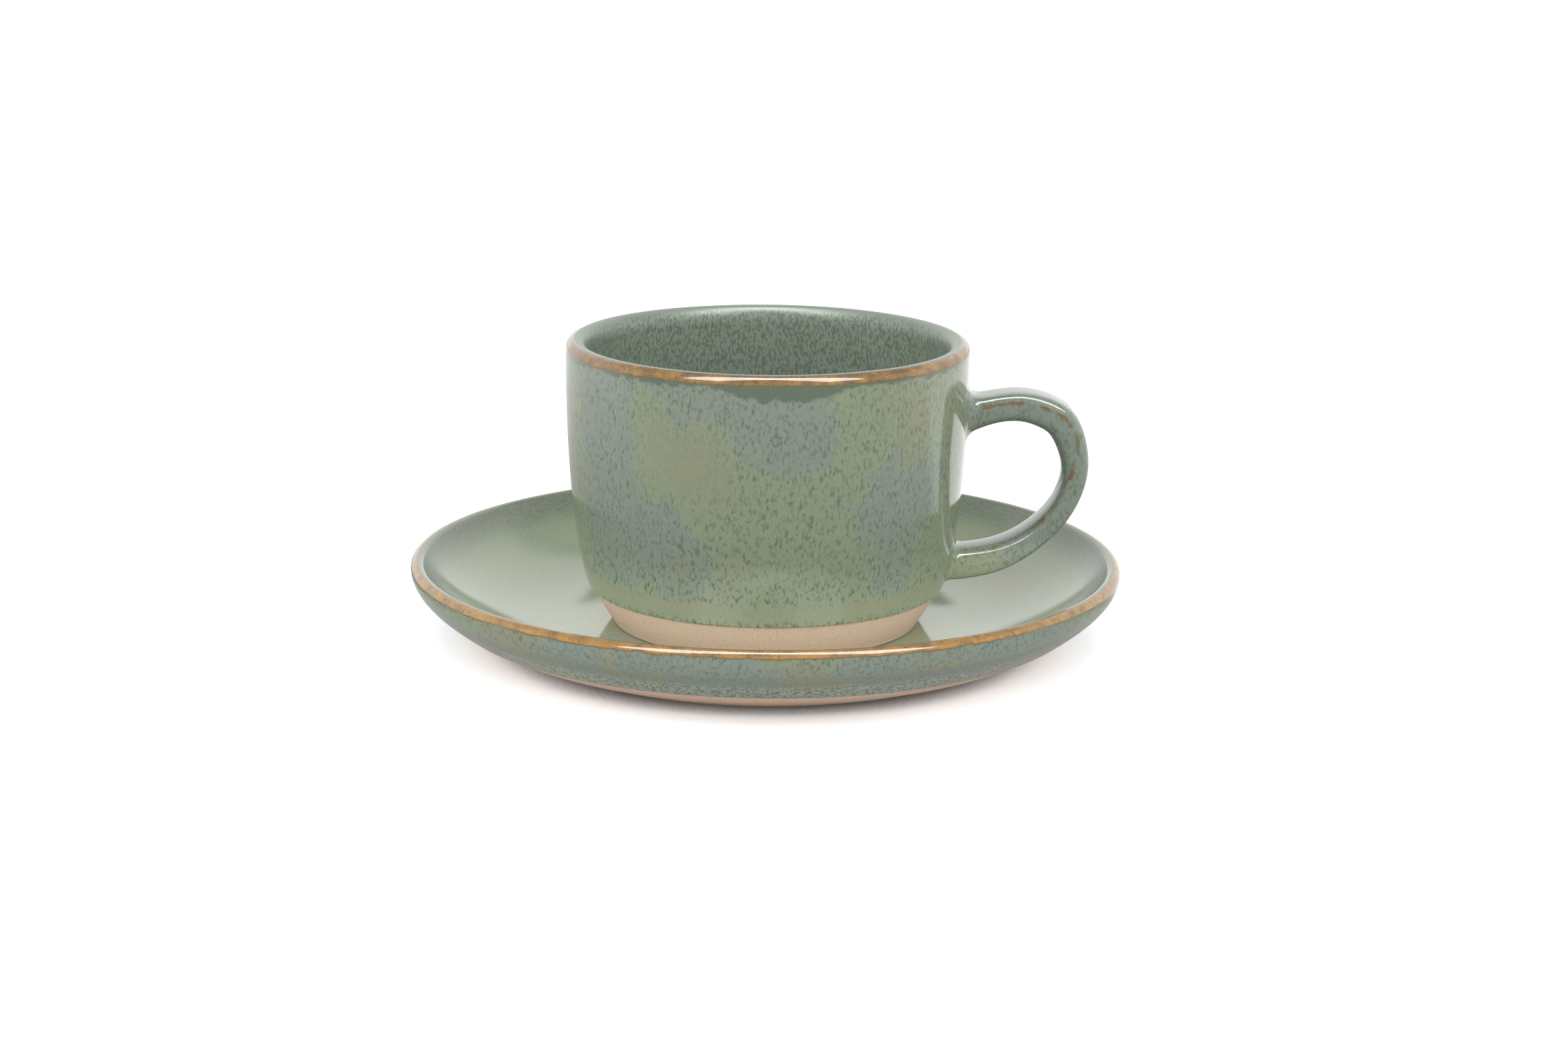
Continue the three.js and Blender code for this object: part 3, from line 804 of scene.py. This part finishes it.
def clay_material(look):
    """Bare stoneware, turned and sponged before firing: a dry matt skin with coarse grains.

    The eye reads a warm beige with fine darker grains, and a toasted line where the glaze stops.
    """
    name = "Turned bare stoneware clay"
    if name in bpy.data.materials:
        return bpy.data.materials[name]
    material, tree = new_material(name)
    place = object_place(tree)
    soft = {"interpolation_type": "SMOOTHSTEP"}
    above = add(tree, "ShaderNodeAttribute", attribute_name=ABOVE_LINE).node.outputs["Fac"]
    grit = add(tree, "ShaderNodeTexNoise", {"Vector": place, "Scale": 1 / GRIT_SIZE, "Detail": 2.0})
    grain = add(tree, "ShaderNodeMapRange", span(grit, GRAIN_SPAN), **soft)
    skin = add(tree, "ShaderNodeMix", {
        "Factor": grain, "A": tinted(look.body), "B": tinted(look.grain),
    }, data_type="RGBA")
    uneven = add(tree, "ShaderNodeMath", {0: grit, 1: TOAST_WANDER, 2: above}, operation="MULTIPLY_ADD")
    toast = add(tree, "ShaderNodeMapRange", span(uneven, TOAST_SPAN), **soft)
    skin = add(tree, "ShaderNodeMix", {"Factor": toast, "A": skin, "B": tinted(look.toast)}, data_type="RGBA")
    rough = add(tree, "ShaderNodeBump", {**CLAY_BUMP, "Height": grit})
    surface = add(tree, "ShaderNodeBsdfPrincipled", {"Base Color": skin, "Normal": rough, **CLAY_FINISH})
    add(tree, "ShaderNodeOutputMaterial", {"Surface": surface})
    return material


def cup_lift():
    """Height of the cup's foot above the table."""
    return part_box("cup_body")[0].z


def settle(piece, body, slot, *nodes):
    """Lets a finished piece ride on its body in place of CAD nodes. Its slot is not used."""
    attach(piece, body)
    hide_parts(*nodes)


def build_pair(scene, name, size, skin, foot, lip_radius, lift, seed):
    """Turns a clay body and the coat of glaze over it."""
    glaze = scene.cupset_glaze
    still = {
        "Steps Around": ROUND_STEPS, "Lift": lift, "Wobble": 0.0, "Wobble Size": glaze.wobble_size,
    }
    clay = turned_piece(name + "_clay", body_outline(skin, foot), {
        **still, "Material": clay_material(scene.cupset_clay),
    })
    settle(clay, name, "clay", name + "_body")
    coat = turned_piece(name + "_coat", coat_outline(skin, marks(skin, lip_radius, size), glaze), {
        **still, "Wobble": glaze.wobble, "Seed": seed, "Material": glaze_material(glaze),
    })
    settle(coat, name, "glaze", name + "_glaze")


class CUPSET_OT_saucer(bpy.types.Operator):
    """Turn the saucer's clay and coat it with glaze"""
    bl_idname = "cupset.saucer"
    bl_label = "Build Saucer"

    def execute(self, context):
        size = context.scene.cupset_saucer
        skin, foot = saucer_skin(size), saucer_foot(size)
        build_pair(context.scene, "saucer", size, skin, foot, size.rim / 2, 0.0, SAUCER_SEED)
        return {"FINISHED"}


class CUPSET_OT_cup(bpy.types.Operator):
    """Turn the cup's clay and coat it with glaze"""
    bl_idname = "cupset.cup"
    bl_label = "Build Cup"

    def execute(self, context):
        size = context.scene.cupset_cup
        skin, foot = cup_skin(size), cup_foot(size)
        build_pair(context.scene, "cup", size, skin, foot, size.wall / 2, cup_lift(), CUP_SEED)
        return {"FINISHED"}


def strap_stations(size, cup):
    """Points of the strap's centreline from the middle of the wall and back to it, with thickness shares."""
    fall = size.crest_height - size.root_height

    def root(up, swell):
        height = size.root_height + up * fall
        return wall_radius(cup, height) - cup.wall / 2, height, swell

    run = [
        (cup.radius + out * size.reach, size.root_height + up * fall, swell) for out, up, swell in STRAP_LINE
    ]
    return np.array([root(*UPPER_ROOT), *run, root(*LOWER_ROOT)])


def threaded(stations, samples):
    """A smooth curve through the stations."""
    padded = np.vstack([stations[:1], stations, stations[-1:]])
    places = np.linspace(0, len(stations) - 1, samples)
    first = np.minimum(places.astype(int), len(stations) - 2)
    t = (places - first)[:, None]
    a, b, c, d = (padded[first + i] for i in range(4))
    return b + 0.5 * t * (c - a + t * (2 * a - 5 * b + 4 * c - d + t * (3 * (b - c) + d - a)))


def averaged(line, reach):
    """A curve averaged over its neighbours, with its ends kept."""
    padded = np.vstack([2 * line[0] - line[reach:0:-1], line, 2 * line[-1] - line[-2:-reach - 2:-1]])
    weights = np.hanning(2 * reach + 3)[1:-1]
    weights /= weights.sum()
    return np.column_stack([np.convolve(column, weights, "valid") for column in padded.T])


def strap_lines(size, cup, distance):
    """Lines along the strap, one for each corner of its section, grown by a distance.

    They are samples by sides by xyz. Also gives the section's outward directions, and each side's place
    across it, from -1 inside to 1 outside.
    """
    line = averaged(threaded(strap_stations(size, cup), STRAP_SAMPLES), STRAP_SMOOTHING)
    along = np.gradient(line[:, :2], axis=0)
    along /= np.linalg.norm(along, axis=1)[:, None]
    shares = np.linspace(-1, 1, STRAP_SAMPLES)
    half_width = size.width / 2 * (1 + size.flare * np.abs(shares) ** ROOT_FLARE_POWER) + distance
    half_thickness = size.thickness / 2 * line[:, 2] + distance
    turns = math.tau * (np.arange(STRAP_SIDES) + 0.5) / STRAP_SIDES
    power = np.where(np.sin(turns) > 0, size.squareness, size.roundness)
    across = np.sign(np.cos(turns)) * np.abs(np.cos(turns)) ** (2 / power)
    over = np.sign(np.sin(turns)) * np.abs(np.sin(turns)) ** (2 / power)
    wide = half_width[:, None] * across
    thick = half_thickness[:, None] * over
    points = np.stack([
        line[:, :1] - thick * along[:, 1:],
        wide,
        line[:, 1:2] + thick * along[:, :1],
    ], axis=2)
    wide_slope = np.abs(across) ** (power - 1) * np.sign(across) / half_width[:, None]
    thick_slope = np.abs(over) ** (power - 1) * np.sign(over) / half_thickness[:, None]
    outward = np.stack([-thick_slope * along[:, 1:], wide_slope, thick_slope * along[:, :1]], axis=2)
    outward /= np.linalg.norm(outward, axis=2)[:, :, None]
    return points, outward, over


def on_wall(points, cup, distance):
    """Points moved straight out from the axis onto the cup's wall, or to a distance off it."""
    radius = wall_radius(cup, points[:, 2]) + distance
    flat = np.hypot(points[:, 0], points[:, 1])
    return np.column_stack([points[:, 0] * radius / flat, points[:, 1] * radius / flat, points[:, 2]])


def root_rings(lines, outward, crossing, step, reach, cup, glaze):
    """Rings that round a strap's root into the wall, from inside the wall out to the plain strap.

    Lines cross the wall at the crossing samples, and step is 1 or -1 for the way out along the strap.
    """
    sides = np.arange(lines.shape[1])
    crease = np.array([lines[crossing[j], j] for j in sides])
    direction = np.array([outward[crossing[j], j] for j in sides])
    normal = crease * (1, 1, 0)
    normal /= np.linalg.norm(normal, axis=1)[:, None]
    sideways = direction - normal * np.sum(direction * normal, axis=1)[:, None]
    sideways /= np.linalg.norm(sideways, axis=1)[:, None]
    skin = glaze.bond + glaze.thickness
    spread = on_wall(crease + sideways * reach[:, None], cup, skin - FEATHER_START * glaze.wobble)
    feathered = crease + sideways * (reach[:, None] + ROOT_FEATHER)
    past = on_wall(feathered, cup, skin - FEATHER_END * glaze.wobble)
    sunk = on_wall(crease, cup, -ROOT_DEPTH)
    leaving = np.zeros(len(sides), int)
    for j in sides:
        run = lines[crossing[j]::step, j]
        leaving[j] = crossing[j] + step * int(np.argmax(travelled(run) >= reach[j]))
    strap = np.array([lines[leaving[j], j] for j in sides])
    rings = [sunk, past]
    for t in np.linspace(0, 1, FILLET_RINGS + 1):
        rings.append((1 - t) ** 2 * spread + 2 * t * (1 - t) * crease + t ** 2 * strap)
    return rings, leaving


class CUPSET_OT_handle(bpy.types.Operator):
    """Pull the strap handle and round its roots into the cup's wall"""
    bl_idname = "cupset.handle"
    bl_label = "Build Handle"

    def execute(self, context):
        scene = context.scene
        size, cup, glaze = scene.cupset_handle, scene.cupset_cup, scene.cupset_glaze
        skin = glaze.bond + glaze.thickness
        lines, outward, over = strap_lines(size, cup, skin)
        outer = (over + 1) / 2
        upper_reach = size.fillet_inside + (size.fillet_outside - size.fillet_inside) * outer
        lower_reach = size.fillet_inside + (size.fillet_below - size.fillet_inside) * outer
        clear = np.hypot(lines[:, :, 0], lines[:, :, 1]) > wall_radius(cup, lines[:, :, 2]) + skin
        upper = np.argmax(clear, axis=0)
        lower = STRAP_SAMPLES - 1 - np.argmax(clear[::-1], axis=0)
        upper_rings, start = root_rings(lines, outward, upper, 1, upper_reach, cup, glaze)
        lower_rings, end = root_rings(lines, outward, lower, -1, lower_reach, cup, glaze)
        middle = []
        for t in np.linspace(0, 1, STRAP_RINGS)[1:-1]:
            places = start + (end - start) * t
            first = places.astype(int)
            part = (places - first)[:, None]
            sides = np.arange(STRAP_SIDES)
            middle.append(lines[first, sides] * (1 - part) + lines[first + 1, sides] * part)
        rings = np.array([*upper_rings, *middle, *lower_rings[::-1]]) + (0, 0, cup_lift())
        faces = []
        for r in range(len(rings) - 1):
            for j in range(STRAP_SIDES):
                a, b = r * STRAP_SIDES + j, r * STRAP_SIDES + (j + 1) % STRAP_SIDES
                faces.append((a, b, b + STRAP_SIDES, a + STRAP_SIDES))
        last = (len(rings) - 1) * STRAP_SIDES
        faces.append(tuple(reversed(range(STRAP_SIDES))))
        faces.append(tuple(range(last, last + STRAP_SIDES)))
        mesh = bpy.data.meshes.new("handle")
        mesh.from_pydata(rings.reshape(-1, 3).tolist(), [], faces)
        mesh.shade_smooth()
        lip = cup_lift() + cup.height
        # The break follows the outer ridge along the top of the loop and the inner ridge along its bottom
        shares = np.linspace(0, 1, len(rings))
        ridge = np.interp(shares, RIDGE_ALONG, RIDGE_ACROSS)
        worn = np.interp(shares, WORN_ALONG, WORN_DEPTH)
        edge = worn[:, None] * np.exp(-((over - ridge[:, None]) / RIDGE_WIDTH) ** 2)
        edge[:len(upper_rings)] = 0
        edge[-len(lower_rings):] = 0
        edge[len(upper_rings) - 1] = ROOT_WORN
        columns = {
            EDGE: edge.ravel(),
            BELOW_LIP: (lip - rings[:, :, 2]).ravel(),
            ABOVE_LINE: (rings[:, :, 2] - cup_lift() - cup.line_height).ravel(),
            STEEP: np.full(edge.size, STRAP_STEEP),
        }
        for mark, values in columns.items():
            mesh.attributes.new(mark, "FLOAT", "POINT").data.foreach_set("value", values.astype(np.float32))
        mesh.materials.append(glaze_material(glaze))
        piece = bpy.data.objects.new("handle_coated", mesh)
        context.collection.objects.link(piece)
        settle(piece, "cup", "glaze", "cup_handle")
        return {"FINISHED"}


def floor_material():
    """Smooth white card, laid flat: pale where the camera sees it, with a painted contact shadow under the
    saucer.

    Mirrored in the glaze it shows painted reflection levels: dimmer near the saucer and at the front, and
    bright behind on the right.
    """
    material, tree = new_material("White card floor")
    rays = add(tree, "ShaderNodeLightPath").node.outputs
    spot = add(tree, "ShaderNodeTexCoord").node.outputs["Object"]
    radius = add(tree, "ShaderNodeVectorMath", {0: spot}, operation="LENGTH").node.outputs["Value"]
    spot = add(tree, "ShaderNodeSeparateXYZ", {"Vector": spot}).node.outputs
    # Painted reflection: the card's level in mirrored rays changes by place
    near = add(tree, "ShaderNodeMapRange", span(radius, MIRROR_NEAR, 0.0, MIRROR_NEAR_LEVEL))
    far = add(tree, "ShaderNodeMapRange", span(radius, MIRROR_FAR, MIRROR_FAR_LEVEL))
    back = add(tree, "ShaderNodeMapRange", span(spot["Y"], MIRROR_FRONT, MIRROR_FRONT_LEVEL))
    behind = add(tree, "ShaderNodeMapRange", span(spot["Y"], MIRROR_BEHIND))
    right = add(tree, "ShaderNodeMapRange", span(spot["X"], MIRROR_RIGHT))
    level = add(tree, "ShaderNodeMath", {0: far, 1: back}, operation="MULTIPLY")
    behind = add(tree, "ShaderNodeMath", {0: behind, 1: right}, operation="MULTIPLY")
    for least in (near, behind):
        level = add(tree, "ShaderNodeMath", {0: level, 1: least}, operation="MAXIMUM")
    mirrored = add(tree, "ShaderNodeCombineXYZ", {"X": level, "Y": level, "Z": level})
    tone = add(tree, "ShaderNodeMix", {
        "Factor": rays["Is Glossy Ray"], "A": linear(CARD), "B": mirrored,
    }, data_type="RGBA")
    unseen = add(tree, "ShaderNodeBsdfDiffuse", {"Color": tone})
    # Painted contact shadow: the camera's tone of the card darkens where little open sky is near
    open_sky = add(tree, "ShaderNodeAmbientOcclusion", {"Distance": CONTACT_REACH}, samples=16)
    contact = add(tree, "ShaderNodeMapRange", span(open_sky.node.outputs["AO"], (0.0, CONTACT_OPEN)))
    tone = add(tree, "ShaderNodeVectorMath", {"Vector": SEEN_CARD, "Scale": contact}, operation="SCALE")
    seen = add(tree, "ShaderNodeBsdfDiffuse", {"Color": tone})
    card = add(tree, "ShaderNodeMixShader", {0: rays["Is Camera Ray"], 1: unseen, 2: seen})
    add(tree, "ShaderNodeOutputMaterial", {"Surface": card})
    return material


def studio_world():
    """White surroundings, darker overhead, and dimmer at the front where the glaze mirrors them."""
    world = bpy.data.worlds.new("White studio")
    world.use_nodes = True
    tree = world.node_tree
    tree.nodes.clear()
    direction = add(tree, "ShaderNodeTexCoord").node.outputs["Generated"]
    parts = add(tree, "ShaderNodeSeparateXYZ", {"Vector": direction}).node.outputs
    level = add(tree, "ShaderNodeMapRange", span(parts["Z"], SKY_EDGE, SKY_SIDES, SKY_OVERHEAD),
                interpolation_type="SMOOTHSTEP")
    front = add(tree, "ShaderNodeMapRange", span(parts["Y"], SKY_FRONT, SKY_FRONT_LEVEL))
    dimmed = add(tree, "ShaderNodeMath", {0: level, 1: front}, operation="MULTIPLY")
    mirror = add(tree, "ShaderNodeLightPath").node.outputs["Is Glossy Ray"]
    level = add(tree, "ShaderNodeMix", {"Factor": mirror, "A": level, "B": dimmed}, data_type="FLOAT")
    sky = add(tree, "ShaderNodeBackground", {"Color": (1, 1, 1, 1), "Strength": level})
    add(tree, "ShaderNodeOutputWorld", {"Surface": sky})
    return world


class CUPSET_OT_stage(bpy.types.Operator):
    """Lay the white floor, light it softly, and set the camera"""
    bl_idname = "cupset.stage"
    bl_label = "Build Studio"

    def execute(self, context):
        stage = context.scene.cupset_stage
        half = stage.floor_size / 2
        mesh = bpy.data.meshes.new("floor")
        corners = [(-half, -half, 0), (half, -half, 0), (half, half, 0), (-half, half, 0)]
        mesh.from_pydata(corners, [], [(0, 1, 2, 3)])
        mesh.materials.append(floor_material())
        floor = bpy.data.objects.new("floor", mesh)
        floor.location.z = -FLOOR_DROP
        context.collection.objects.link(floor)
        context.scene.world = studio_world()
        for name, place, width, depth, power, mirrored in LIGHTS:
            light = bpy.data.lights.new(name, "AREA")
            light.shape = "RECTANGLE"
            light.size = width
            light.size_y = depth
            light.energy = power
            lamp = bpy.data.objects.new(name, light)
            lamp.location = place
            lamp.rotation_euler = Vector(place).to_track_quat("Z", "Y").to_euler()
            lamp.visible_diffuse = not mirrored
            lamp.visible_glossy = mirrored
            context.collection.objects.link(lamp)

        camera = bpy.data.cameras.new("camera")
        camera.lens = stage.lens
        camera.sensor_width = SENSOR_WIDTH
        eye = bpy.data.objects.new("camera", camera)
        tilt = Matrix.Rotation(math.pi / 2 - stage.pitch, 4, "X")
        eye.matrix_world = Matrix.Translation(stage.camera) @ tilt @ Matrix.Rotation(stage.roll, 4, "Z")
        context.collection.objects.link(eye)
        context.scene.camera = eye
        context.scene.view_settings.view_transform = "Standard"
        return {"FINISHED"}


class CUPSET_PT_panel(bpy.types.Panel):
    """Sizes, colours and the building steps in the sidebar"""
    bl_label = "Cup and Saucer"
    bl_idname = "CUPSET_PT_panel"
    bl_space_type = "VIEW_3D"
    bl_region_type = "UI"
    bl_category = "Cup"

    def draw(self, context):
        for step in STEPS:
            self.layout.operator(step.bl_idname)
        for name, group in GROUPS.items():
            box = self.layout.box()
            box.label(text=group.__doc__)
            for field in group.__annotations__:
                box.prop(getattr(context.scene, name), field)


GROUPS = {
    "cupset_glaze": CUPSET_PG_glaze,
    "cupset_clay": CUPSET_PG_clay,
    "cupset_saucer": CUPSET_PG_saucer,
    "cupset_cup": CUPSET_PG_cup,
    "cupset_handle": CUPSET_PG_handle,
    "cupset_stage": CUPSET_PG_stage,
}
STEPS = (CUPSET_OT_saucer, CUPSET_OT_cup, CUPSET_OT_handle, CUPSET_OT_stage)


def register():
    for part in (*GROUPS.values(), *STEPS, CUPSET_PT_panel):
        bpy.utils.register_class(part)
    for name, group in GROUPS.items():
        setattr(bpy.types.Scene, name, bpy.props.PointerProperty(type=group))


def unregister():
    for name in GROUPS:
        delattr(bpy.types.Scene, name)
    for part in (CUPSET_PT_panel, *STEPS, *GROUPS.values()):
        bpy.utils.unregister_class(part)


def main():
    register()
    bpy.ops.cupset.saucer()
    bpy.ops.cupset.cup()
    bpy.ops.cupset.handle()
    bpy.ops.cupset.stage()
    bpy.context.view_layer.update()


if __name__ == "__main__":
    main()
